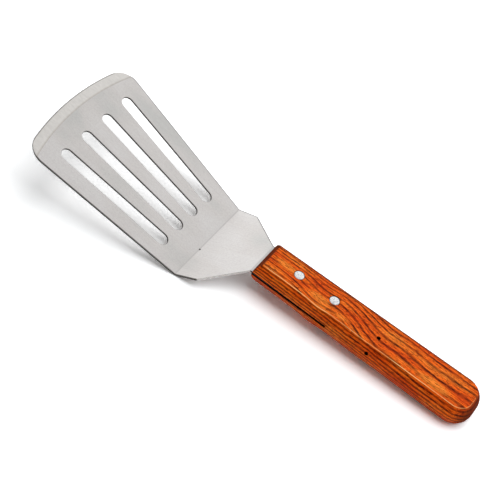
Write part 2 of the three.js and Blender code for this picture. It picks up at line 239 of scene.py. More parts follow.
# The ground band and the rest of the blank are filled as two faces that share the grinding line.
band_edges = []
body_edges = []
for edge in blank.edges:
    reaches = [past_grind_line(vert.co) for vert in edge.verts]
    if min(reaches) > -NEAR:
        band_edges.append(edge)
    if max(reaches) < NEAR:
        body_edges.append(edge)
bmesh.ops.triangle_fill(blank, use_beauty=True, edges=band_edges, normal=(0, 0, 1))
body = bmesh.ops.triangle_fill(blank, use_beauty=True, edges=body_edges, normal=(0, 0, 1))["geom"]
body_inner = [
    edge for edge in body
    if isinstance(edge, bmesh.types.BMEdge) and not edge.is_boundary and edge not in band_edges
]
bmesh.ops.dissolve_limit(blank, angle_limit=math.radians(LEVEL_WITHIN_DEG), edges=body_inner, verts=[])


def on_lit_edge(point):
    """Whether a point of the blank lies on the neck's near side, between its corner and the handle."""
    return point.y > 0 and 0 < point.x < collar_corner.x


# Painted shade darkens the sheet for a little way in from its outline, but not along the neck's near
# edge, which is painted as lit.
bmesh.ops.inset_region(
    blank, faces=blank.faces[:], thickness=RIM_SHADE_WIDTH, depth=0, use_boundary=True, use_even_offset=True
)
for vert in blank.verts:
    vert[rim_shade] *= vert.is_boundary and not on_lit_edge(vert.co)

# The sheet gets its thickness, its front edge is ground from above, and its rims are tumbled round.
bmesh.ops.translate(blank, verts=blank.verts, vec=(0, 0, -SHEET_THICKNESS / 2))
raised = bmesh.ops.extrude_face_region(blank, geom=blank.faces[:])["geom"]
upper = [item for item in raised if isinstance(item, bmesh.types.BMVert)]
bmesh.ops.translate(blank, verts=upper, vec=(0, 0, SHEET_THICKNESS))
grind_slope = (SHEET_THICKNESS - GROUND_EDGE_THICKNESS) / GROUND_EDGE_WIDTH
for vert in upper:
    vert.co.z -= grind_slope * max(0, past_grind_line(vert.co))
bmesh.ops.recalc_face_normals(blank, faces=blank.faces)
rims = [edge for edge in blank.edges if edge.calc_face_angle(0) > math.radians(TUMBLED_FROM_DEG)]
bmesh.ops.bevel(
    blank, geom=rims, offset=TUMBLED_EDGE, offset_type="OFFSET", affect="EDGES",
    segments=TUMBLED_STEPS, profile=0.5, material=-1, clamp_overlap=False,
)

# Places in the blade's list of materials below, where the satin faces have the first.
SHEARED_SHADED, GROUND, TANG_EDGE_SHADE, LIT_EDGE = range(1, 5)
# Cut edges are painted darker as shade, darkest on the tang inside the slot; the neck's near edge is a
# paler copy, painted as lit.
for face in blank.faces:
    middle = face.calc_center_median()
    if abs(face.normal.z) >= FLAT_ENOUGH:
        if face.normal.z > 0 and past_grind_line(middle) > 0:
            face.material_index = GROUND
    elif on_lit_edge(middle):
        face.material_index = LIT_EDGE
    else:
        face.material_index = SHEARED_SHADED if middle.x > 0 else TANG_EDGE_SHADE


def fold(bm, start, arc, angle):
    """Bends a flat sheet over a stretch of its length, by as many small folds as the bend has steps, and
    keeps a weight on each fold line, highest at the bend's middle, for the steel's painted crease shade."""
    folds = [start + arc * (step + 0.5) / BEND_STEPS for step in range(BEND_STEPS)]
    crease_shade = bm.verts.layers.float.get("crease_shade") or bm.verts.layers.float.new("crease_shade")
    for line in folds:
        whole = bm.verts[:] + bm.edges[:] + bm.faces[:]
        bmesh.ops.bisect_plane(bm, geom=whole, dist=CUT_NEAR, plane_co=(line, 0, 0), plane_no=(1, 0, 0))
    for line in reversed(folds):
        on_line = [vert for vert in bm.verts if abs(vert.co.x - line) < NEAR]
        beyond = [vert for vert in bm.verts if vert.co.x > line + NEAR]
        turn = angle / BEND_STEPS
        for vert in on_line:
            vert[crease_shade] = 1 - abs(2 * (line - start) / arc - 1)
        bmesh.ops.rotate(bm, verts=beyond, cent=(line, 0, 0), matrix=Matrix.Rotation(turn, 3, "Y"))
        bmesh.ops.rotate(bm, verts=on_line, cent=(line, 0, 0), matrix=Matrix.Rotation(turn / 2, 3, "Y"))


fold(blank, heel_start, heel_arc, -heel_angle)
fold(blank, shoulder_start, shoulder_arc, shoulder_angle)
bmesh.ops.rotate(blank, verts=blank.verts, cent=(0, 0, 0), matrix=Matrix.Rotation(math.pi, 3, "Z"))


def colour(hexadecimal):
    """A colour written as sRGB hex, as the linear value that a shader takes."""
    channels = [int(hexadecimal[i:i + 2], 16) / 255 for i in (0, 2, 4)]
    return (*[c / 12.92 if c <= 0.04045 else ((c + 0.055) / 1.055) ** 2.4 for c in channels], 1)


def add_node(tree, kind, sockets=None, stops=None, **settings):
    """Adds a shader node. A socket, by its name or number, gets a value or a node to link from."""
    made = tree.nodes.new("ShaderNode" + kind)
    for name, value in settings.items():
        setattr(made, name, value)
    for key, value in (sockets or {}).items():
        named = [socket for socket in made.inputs if socket.name == key and socket.enabled]
        target = named[0] if named else made.inputs[key]
        if isinstance(value, bpy.types.Node):
            value = next(socket for socket in value.outputs if socket.enabled)
        if isinstance(value, bpy.types.NodeSocket):
            tree.links.new(value, target)
        else:
            target.default_value = value
    for _ in (stops or [])[2:]:
        made.color_ramp.elements.new(1)
    for element, (position, tone) in zip(made.color_ramp.elements if stops else [], stops or []):
        element.position = position
        element.color = tone
    return made


def new_material(name):
    """An empty material, and a node that gives millimetres in the handle's own frame."""
    material = bpy.data.materials.new(name)
    material.use_nodes = True
    tree = material.node_tree
    tree.nodes.clear()
    place = add_node(tree, "TexCoord")
    millimetres = add_node(
        tree, "Mapping",
        {"Vector": place.outputs["Object"], "Location": handle_origin, "Rotation": (0, handle_tilt, 0),
         "Scale": (MM, MM, MM)},
        vector_type="TEXTURE",
    )
    return material, tree, millimetres


def satin_stainless_steel():
    """Rolled stainless sheet with a fine satin finish: an even pale warm grey, faintly lined along the
    blade, finely speckled and faintly clouded. It is painted a little darker along each bend, as shade in
    the crease, and darker round its outline, as shade on the edge, and it has one small pit at the heel.
    The finish is drawn coarser than the real grit."""
    material, tree, place = new_material("satin stainless steel")
    line_place = add_node(tree, "VectorMath", {0: place, 1: SATIN_LINE}, operation="DIVIDE")
    lines = add_node(tree, "TexNoise", {"Vector": line_place, "Scale": 1, "Detail": 3, "Roughness": 0.6})
    speck_place = add_node(tree, "VectorMath", {0: place, 1: SATIN_SPECK}, operation="DIVIDE")
    specks = add_node(tree, "TexNoise", {"Vector": speck_place, "Scale": 1, "Detail": 2, "Roughness": 0.6})
    mixed = add_node(tree, "Mix", {"Factor": 0.35, "A": specks, "B": lines})
    tone = add_node(
        tree, "ValToRGB", {"Fac": mixed},
        [(0.3, colour("E4E0DF")), (0.5, colour("EEEBE9")), (0.7, colour("F6F4F2"))],
    )
    cloud_place = add_node(tree, "VectorMath", {0: place, 1: SATIN_CLOUD}, operation="DIVIDE")
    clouds = add_node(
        tree, "TexNoise", {"Vector": cloud_place, "Scale": 1, "Detail": 2, "W": SATIN_CLOUD_SEED},
        noise_dimensions="4D",
    )
    cloud_tone = add_node(
        tree, "ValToRGB", {"Fac": clouds},
        [(0.36, colour("EFF1F0")), (0.5, colour("FAF9F8")), (0.64, colour("FFFFFF"))],
    )
    clouded = add_node(
        tree, "Mix", {"Factor": 1.0, "A": tone, "B": cloud_tone}, data_type="RGBA", blend_type="MULTIPLY"
    )
    # Painted shade: the steel is a little darker along each bend.
    crease_shade = add_node(tree, "Attribute", attribute_name="crease_shade")
    crease_shaded = add_node(
        tree, "Mix", {"Factor": crease_shade.outputs["Fac"], "A": clouded, "B": colour("D6D2D0")},
        data_type="RGBA",
    )
    # Painted shade: the steel is darker round the sheet's outline.
    rim_shade_attribute = add_node(tree, "Attribute", attribute_name="rim_shade")
    rim = add_node(tree, "MapRange", {"Value": rim_shade_attribute.outputs["Fac"], "From Max": 0.6})
    rim_shaded = add_node(tree, "Mix", {"Factor": rim, "A": crease_shaded, "B": colour("7A7674")}, data_type="RGBA")
    from_pit = add_node(tree, "VectorMath", {0: place, 1: PRESS_PIT_PLACE}, operation="DISTANCE")
    pit = add_node(
        tree, "MapRange",
        {"Value": from_pit.outputs["Value"], "From Min": PRESS_PIT_RADIUS / 2,
         "From Max": PRESS_PIT_RADIUS, "To Min": 1.0, "To Max": 0.0},
    )
    pitted = add_node(tree, "Mix", {"Factor": pit, "A": rim_shaded, "B": colour("2C2826")}, data_type="RGBA")
    rough = add_node(
        tree, "MapRange",
        {"Value": mixed, "From Min": 0.3, "From Max": 0.7, "To Min": 0.34, "To Max": 0.42},
    )
    bump = add_node(tree, "Bump", {"Height": mixed, "Strength": 0.06, "Distance": 0.05 * MM})
    shader = add_node(
        tree, "BsdfPrincipled",
        {"Base Color": pitted, "Metallic": 1.0, "Roughness": rough, "Normal": bump},
    )
    add_node(tree, "OutputMaterial", {"Surface": shader})
    return material


def sheared_edge_painted_shade():
    """The cut edge of the sheet: torn by the punch and only rounded in the tumbler since, so it is rough
    and a little dark, and it is painted darker still as shade.
    """
    material, tree, place = new_material("sheared stainless edge")
    torn_place = add_node(tree, "VectorMath", {0: place, 1: TORN_PIT}, operation="DIVIDE")
    torn = add_node(tree, "TexNoise", {"Vector": torn_place, "Scale": 1, "Detail": 3})
    tone = add_node(tree, "ValToRGB", {"Fac": torn}, [(0.3, colour("3A3735")), (0.7, colour("605C59"))])
    bump = add_node(tree, "Bump", {"Height": torn, "Strength": 0.3, "Distance": 0.1 * MM})
    shader = add_node(
        tree, "BsdfPrincipled",
        {"Base Color": tone, "Metallic": 1.0, "Roughness": 0.5, "Normal": bump},
    )
    add_node(tree, "OutputMaterial", {"Surface": shader})
    return material


def ground_steel_edge():
    """The front edge, ground by a fine wheel across the blade: a touch paler and warmer than the sheet,
    with a dull line where the wheel ran out, and painted darker towards its outer rim as shade."""
    material, tree, place = new_material("ground stainless edge")
    fan = add_node(
        tree, "Mapping",
        {"Vector": place, "Location": grind_centre, "Rotation": (0, blade_rise, 0)},
        vector_type="TEXTURE",
    )
    flat = add_node(tree, "VectorMath", {0: fan, 1: (1, 1, 0)}, operation="MULTIPLY")
    reach = add_node(tree, "VectorMath", {0: flat}, operation="LENGTH")
    into_band = add_node(
        tree, "MapRange",
        {"Value": reach.outputs["Value"], "From Min": ground_radius, "From Max": FRONT_EDGE_RADIUS},
    )
    # The last stops paint shade along the ground band's outer rim.
    run_out_and_rim_shade = add_node(
        tree, "ValToRGB", {"Fac": into_band},
        [(0.0, colour("DEDBD8")), (0.06, colour("EAE8E6")), (0.2, colour("FFFFFF")),
         (0.88, colour("FFFFFF")), (0.95, colour("C0BCB8")), (1.0, colour("8C8884"))],
    )
    mark_place = add_node(tree, "VectorMath", {0: place, 1: WHEEL_MARK}, operation="DIVIDE")
    marks = add_node(tree, "TexNoise", {"Vector": mark_place, "Scale": 1, "Detail": 3, "Roughness": 0.6})
    tone = add_node(tree, "ValToRGB", {"Fac": marks}, [(0.3, colour("F0EDE9")), (0.7, colour("FDFAF6"))])
    bump = add_node(tree, "Bump", {"Height": marks, "Strength": 0.1, "Distance": 0.05 * MM})
    edged = add_node(
        tree, "Mix", {"Factor": 1.0, "A": tone, "B": run_out_and_rim_shade}, data_type="RGBA", blend_type="MULTIPLY"
    )
    shader = add_node(
        tree, "BsdfPrincipled",
        {"Base Color": edged, "Metallic": 1.0, "Roughness": 0.5, "Normal": bump},
    )
    add_node(tree, "OutputMaterial", {"Surface": shader})
    return material


def tang_edge_painted_shade():
    """The tang's cut edge in the saw slot: painted nearly black, as the shade deep in the slot."""
    material, tree, place = new_material("tang edge painted shade")
    shade_streak_place = add_node(tree, "VectorMath", {0: place, 1: SHADE_STREAK}, operation="DIVIDE")
    shade_streaks = add_node(tree, "TexNoise", {"Vector": shade_streak_place, "Scale": 1, "Detail": 2})
    tone = add_node(tree, "ValToRGB", {"Fac": shade_streaks}, [(0.3, colour("0F0806")), (0.7, colour("26160F"))])
    shader = add_node(tree, "BsdfPrincipled", {"Base Color": tone, "Roughness": 0.8})
    add_node(tree, "OutputMaterial", {"Surface": shader})
    return material


def lit_steel_edge():
    """The neck's near edge: painted paler than the other cut edges, as where light falls on it, and
    smoother.
    """
    material, tree, place = new_material("lit stainless edge")
    mark_place = add_node(tree, "VectorMath", {0: place, 1: LIT_EDGE_MARK}, operation="DIVIDE")
    marks = add_node(tree, "TexNoise", {"Vector": mark_place, "Scale": 1, "Detail": 2})
    tone = add_node(tree, "ValToRGB", {"Fac": marks}, [(0.3, colour("A6A3A0")), (0.7, colour("C0BDBA"))])
    shader = add_node(tree, "BsdfPrincipled", {"Base Color": tone, "Metallic": 1.0, "Roughness": 0.45})
    add_node(tree, "OutputMaterial", {"Surface": shader})
    return material


finished_piece(
    blank, "blade",
    [satin_stainless_steel(), sheared_edge_painted_shade(), ground_steel_edge(), tang_edge_painted_shade(),
     lit_steel_edge()],
)


# Handle: one piece of varnished reddish hardwood, shaped all round by one cutter so that its sides and
# ends bulge between two flat faces. A saw slot in its front takes the tang, and two stepped holes take
# the rivets. It has two old pin-holes behind them.
HANDLE_LENGTH = 127.0
HANDLE_THICKNESS = 12.8
HANDLE_FRONT_WIDTH = 23.3
HANDLE_REAR_WIDTH = 26.7
HANDLE_REAR_CORNER_RADIUS = 10.5
HANDLE_FRONT_CORNER_EASE = 0.5
HANDLE_FRONT_EASE_ZONE = 4.0
HANDLE_SIDE_BULGE = 3.0
HANDLE_ARRIS_RADIUS = 0.8
# How far in from the far arris the wood is painted darker as shade.
FAR_ARRIS_SHADE_WIDTH = 1.0
SAW_SLOT_HEIGHT = 1.5
SAW_SLOT_END = 44.9
REAR_CORNER_STEPS = 18
FRONT_CORNER_STEPS = 3
SIDE_STEPS = 8
ARRIS_STEPS = 4
LENGTH_STEPS = 36
SANDED_PLACES = ((15.0, 8.0, -0.2), (36.0, 5.0, 0.8), (64.0, 7.0, 0.4))
FRONT_CORNER_FROM = TANG_WIDTH / 3
FRONT_CORNER_FROM_DEG = 50
RIVET_HEAD_RADIUS = 2.6
RIVET_SHANK_RADIUS = 1.8
RIVET_HEAD_DEPTH = 1.8
RIVET_CLEARANCE = 0.25
PIN_HOLE_RADIUS = 1.05
PIN_HOLE_DEPTH = 4.0
PIN_HOLE_TAPER = 0.1
PIN_HOLE_SIDES = 12
PIN_HOLE_REACH = 3 * PIN_HOLE_RADIUS
TOP_PIN_HOLE = (69.3, -3.1)
SIDE_PIN_HOLE = (68.9, 2.2)
SIDE_FACING = 0.5
END_GRAIN_FROM = 0.3
END_GRAIN_GAIN = 2

# The place of the slot and hole walls' wood, painted dark as shade, in the handle's list of materials,
# where varnished wood has the first.
RECESS_SHADE = 1

# The grain's measures. A pair for the front or the rear is a station and the spacing there, a drift is
# where it starts and ends and how far it goes, and pale figure is its middle, length and breadth.
RING_STEEPNESS = 0.6
FINE_LINES_TO_RING = 2.0
FAR_EDGE_RINGS = (3.0, 10.0, 3.0)
LAYER_FRONT = (20.0, 1.3)
LAYER_REAR = (110.0, 1.95)
RING_SPACING_FRONT = (20.0, 2.8)
RING_SPACING_REAR = (110.0, 5.5)
MAIN_RING_AT_FRONT = 7.0
MAIN_RING_DRIFT = ((18.0, 33.0, -1.75), (33.0, 45.0, 2.2), (45.0, 74.0, -7.2), (80.0, 102.0, -2.4))
PALE_FIGURE = (
    (12.0, 0.4, 10.5, 3.6), (33.5, -3.8, 9.5, 3.6), (49.0, -6.2, 7.0, 2.6), (104.0, -6.3, 17.0, 3.4),
)
SIDE_LINES_BELOW = (0.25, 0.6)
# The sides are painted a little darker as shade.
SIDE_PAINTED_SHADE = -0.06
# Stations where the near arris's painted highlight fades in, and where it fades down at the rear.
HIGHLIGHT_FROM = (3.0, 6.0)
HIGHLIGHT_TO = (114.0, 122.0)

# Sizes of the patterns in the wood, along, across and up, with how far the first ones sway its lines.
RING_SWAYS = (((22, 8, 8), 1.3), ((7, 1.5, 1.5), 0.6), ((2.2, 0.7, 0.7), 0.3))
LAYER_RIPPLE = (26, 14, 9)
LAYER_SWAY = 1.3
LINE_FADING = (18, 4, 1.6)
LINE_BREAK = (3.2, 1.0, 1.0)
PALE_PATCH = (22, 5, 5)
FIBRE = (5, 0.45, 0.45)
PORE = (2.0, 0.35, 0.35)

# Half of the outline at the widest level, from the middle of the front to the middle of the rear.
handle = bmesh.new()
spread = math.atan((HANDLE_REAR_WIDTH - HANDLE_FRONT_WIDTH) / 2 / HANDLE_LENGTH)


def half_width(x):
    """Half of the handle's width at a station, at its widest level."""
    return HANDLE_FRONT_WIDTH / 2 + x * math.tan(spread)


rear_round = HANDLE_REAR_CORNER_RADIUS
rear_x = HANDLE_LENGTH - rear_round
rear_round_centre = Vector((rear_x, half_width(rear_x) - rear_round / math.cos(spread)))
side_normal = Vector((-math.sin(spread), math.cos(spread)))
at = handle.verts.new((0, 0, 0))
at = run_to(handle, at, (0, HANDLE_FRONT_WIDTH / 2))
handle_side = rear_round_centre + side_normal * rear_round - at.co.xy
side_begin = at.co.xy.copy()
for step in range(1, LENGTH_STEPS + 1):
    at = run_to(handle, at, side_begin + handle_side * step / LENGTH_STEPS)
at = carry_round(handle, at, rear_round_centre, -math.pi / 2 - spread, REAR_CORNER_STEPS)
run_to(handle, at, (HANDLE_LENGTH, 0))
bmesh.ops.mirror(handle, geom=handle.verts[:] + handle.edges[:], axis="Y", merge_dist=NEAR)
upper_face = bmesh.ops.edgeloop_fill(handle, edges=handle.edges)["faces"]
bmesh.ops.recalc_face_normals(handle, faces=upper_face)
if upper_face[0].normal.z < 0:
    bmesh.ops.reverse_faces(handle, faces=upper_face)

# The outline steps up and in along the cutter's profile: the saw slot's level, the bulging side, and
# the small round of the arris that ends in the flat face.
half_thickness = HANDLE_THICKNESS / 2
side_radius = (half_thickness ** 2 + HANDLE_SIDE_BULGE ** 2) / (2 * HANDLE_SIDE_BULGE)
arris_height = half_thickness - HANDLE_ARRIS_RADIUS
arris_start = math.asin(arris_height / (side_radius - HANDLE_ARRIS_RADIUS))
arris_inset = side_radius - (side_radius - HANDLE_ARRIS_RADIUS) * math.cos(arris_start)
far_arris = HANDLE_FRONT_WIDTH / 2 - arris_inset
slot_level = math.asin(SAW_SLOT_HEIGHT / 2 / side_radius)
profile = []
for step in range(SIDE_STEPS + 1):
    lean = slot_level + (arris_start - slot_level) * step / SIDE_STEPS
    profile.append((side_radius * (1 - math.cos(lean)), side_radius * math.sin(lean), 0))
for step in range(1, ARRIS_STEPS + 1):
    lean = arris_start + (math.pi / 2 - arris_start) * step / ARRIS_STEPS
    highlit = int(step < ARRIS_STEPS)
    profile.append((
        arris_inset - HANDLE_ARRIS_RADIUS * math.cos(lean),
        arris_height + HANDLE_ARRIS_RADIUS * math.sin(lean),
        highlit,
    ))
# The arris's rounds on the near side are marked for a painted highlight.
highlight_layer = handle.verts.layers.float.new("highlit")
inset_before = 0
height_before = 0
for inset, height, highlit in profile:
    bmesh.ops.inset_region(
        handle, faces=upper_face, thickness=inset - inset_before, depth=height - height_before,
        use_boundary=True, use_even_offset=True,
    )
    for vert in upper_face[0].verts:
        vert[highlight_layer] = highlit if vert.co.y < 0 else 0
    inset_before = inset
    height_before = height


def parts_of(faces):
    """Faces with their vertices and edges, each of them once."""
    return list(dict.fromkeys(item for face in faces for item in [*face.verts, *face.edges, face]))


# The saw slot: the lowest ring is cut away back to the slot's end, which leaves a roof and an end wall.
slot_ring = [face for face in handle.faces if face.calc_center_median().z < SAW_SLOT_HEIGHT / 2]
bmesh.ops.bisect_plane(
    handle, geom=parts_of(slot_ring), dist=CUT_NEAR, plane_co=(SAW_SLOT_END, 0, 0), plane_no=(1, 0, 0)
)
mouth = [
    face for face in handle.faces
    if face.calc_center_median().z < SAW_SLOT_HEIGHT / 2 and face.calc_center_median().x < SAW_SLOT_END
]
bmesh.ops.delete(handle, geom=mouth, context="FACES")
slot_end = [vert for vert in handle.verts if abs(vert.co.x - SAW_SLOT_END) < NEAR]
end_top = sorted((vert for vert in slot_end if vert.co.z > NEAR), key=lambda vert: vert.co.y)
end_foot = sorted((vert for vert in slot_end if vert.co.z <= NEAR), key=lambda vert: vert.co.y)
roof_line = handle.edges.new(end_top)
roof_edges = [
    edge for edge in handle.edges
    if edge.is_boundary and all(abs(vert.co.z - SAW_SLOT_HEIGHT / 2) < NEAR for vert in edge.verts)
]
slot_roof = bmesh.ops.edgeloop_fill(handle, edges=roof_edges + [roof_line])["faces"]
slot_roof.append(handle.faces.new((*end_top, *reversed(end_foot))))
# The slot's roof and end wall take the wood painted dark as shade.
for face in slot_roof:
    face.material_index = RECESS_SHADE
stray = [vert for vert in handle.verts if not vert.link_faces]
bmesh.ops.delete(handle, geom=stray, context="VERTS")
upper_half = handle.verts[:] + handle.edges[:] + handle.faces[:]
bmesh.ops.mirror(handle, geom=upper_half, axis="Z", merge_dist=NEAR)
bmesh.ops.recalc_face_normals(handle, faces=handle.faces)

# The near arris was sanded by hand, and wanders a little. Each place has a station, a reach and a depth.
for vert in handle.verts:
    if vert.co.y < 0:
        sanded = (vert.co.z / half_thickness) ** 2
        for place, reach, depth in SANDED_PLACES:
            vert.co.y -= sanded * depth * math.exp(-((vert.co.x - place) / reach) ** 2)
front_corners = [
    edge for edge in handle.edges
    if edge.is_manifold and edge.calc_face_angle() > math.radians(FRONT_CORNER_FROM_DEG)
    and all(vert.co.x < HANDLE_FRONT_EASE_ZONE for vert in edge.verts)
    and all(abs(vert.co.y) > FRONT_CORNER_FROM for vert in edge.verts)
    and abs(edge.verts[0].co.z - edge.verts[1].co.z) > NEAR
]
bmesh.ops.bevel(
    handle, geom=front_corners, offset=HANDLE_FRONT_CORNER_EASE, offset_type="OFFSET", affect="EDGES",
    segments=FRONT_CORNER_STEPS, profile=0.5, material=-1,
)


def cut_round(bm, faces, centre, axis, radius, sides):
    """Cuts a round patch out of faces, by a ring of planes about an axis, and returns the faces in it."""
    toward = axis.orthogonal().normalized()
    inside = list(faces)
    for side in range(sides):
        outward = Quaternion(axis, 2 * math.pi * side / sides) @ toward
        cut = bmesh.ops.bisect_plane(
            bm, geom=parts_of(inside), dist=CUT_NEAR, plane_co=centre + outward * radius, plane_no=outward
        )["geom"]
        inside = [
            item for item in cut if isinstance(item, bmesh.types.BMFace)
            and (item.calc_center_median() - centre).dot(outward) < radius
        ]
    return inside


def level_face(bm, point):
    """The level face that a point lies on."""
    level = [face for face in bm.faces if all(abs(vert.co.z - point.z) < NEAR for vert in face.verts)]
    return [face for face in level if bmesh.geometry.intersect_face_point(face, point)]


def outline_of(faces):
    """The edges round a patch of faces."""
    return [edge for face in faces for edge in face.edges if len(set(edge.link_faces) & set(faces)) == 1]


head_hole = RIVET_HEAD_RADIUS + RIVET_CLEARANCE
shank_hole = RIVET_SHANK_RADIUS + RIVET_CLEARANCE
head_seat = RIVET_HEAD_DEPTH + RIVET_CLEARANCE

# Each rivet hole is a pocket for the head and a narrower bore from its seat to the saw slot.
for station in RIVET_STATIONS.values():
    for up in (Vector((0, 0, 1)), Vector((0, 0, -1))):
        hole_rim = Vector((station, 0, 0)) + up * half_thickness
        pocket = cut_round(handle, level_face(handle, hole_rim), hole_rim, up, head_hole, HOLE_SIDES)
        for face in pocket:
            face.material_index = RECESS_SHADE
        bmesh.ops.inset_region(handle, faces=pocket, thickness=0, depth=-head_seat, use_even_offset=True)
        seat = hole_rim - up * head_seat
        bore = cut_round(handle, pocket, seat, up, shank_hole, HOLE_SIDES)
        roof = Vector((station, 0, 0)) + up * SAW_SLOT_HEIGHT / 2
        bore_end = cut_round(handle, level_face(handle, roof), roof, up, shank_hole, HOLE_SIDES)
        ends = outline_of(bore) + outline_of(bore_end)
        bmesh.ops.delete(handle, geom=bore + bore_end, context="FACES")
        for face in bmesh.ops.bridge_loops(handle, edges=ends)["faces"]:
            face.material_index = RECESS_SHADE

# The pin-holes: one in the upper face, and one in the near side, square to its bulge.
top_pin = Vector((*TOP_PIN_HOLE, half_thickness))
pin_holes = [cut_round(
    handle, level_face(handle, top_pin), top_pin, Vector((0, 0, 1)), PIN_HOLE_RADIUS, PIN_HOLE_SIDES
)]
pin_x, pin_height = SIDE_PIN_HOLE
pin_lean = math.asin(pin_height / side_radius)
pin_inset = side_radius * (1 - math.cos(pin_lean))
side_pin = Vector((pin_x, pin_inset - half_width(pin_x), pin_height))
side_out = Vector((0, -math.cos(pin_lean), math.sin(pin_lean)))
near_side = [
    face for face in handle.faces
    if face.normal.y < -SIDE_FACING and abs(face.calc_center_median().z - pin_height) < PIN_HOLE_REACH
    and min(vert.co.x for vert in face.verts) < pin_x + PIN_HOLE_RADIUS
    and max(vert.co.x for vert in face.verts) > pin_x - PIN_HOLE_RADIUS
]
pin_holes.append(cut_round(handle, near_side, side_pin, side_out, PIN_HOLE_RADIUS, PIN_HOLE_SIDES))
for pin in pin_holes:
    for face in pin:
        face.material_index = RECESS_SHADE
    bmesh.ops.inset_region(
        handle, faces=pin, thickness=PIN_HOLE_TAPER, depth=-PIN_HOLE_DEPTH, use_even_offset=True
    )

# End grain shows where the surface turns square to the length, at the front and round the rear.
end_grain = handle.verts.layers.float.new("end_grain")
handle.normal_update()
for vert in handle.verts:
    if abs(vert.co.z) < half_thickness - NEAR:
        vert[end_grain] = min(1, max(0, END_GRAIN_GAIN * (abs(vert.normal.x) - END_GRAIN_FROM)))


def mask(level):
    """A weight between nought and one, as the grey that a ramp takes."""
    return (level, level, level, 1)


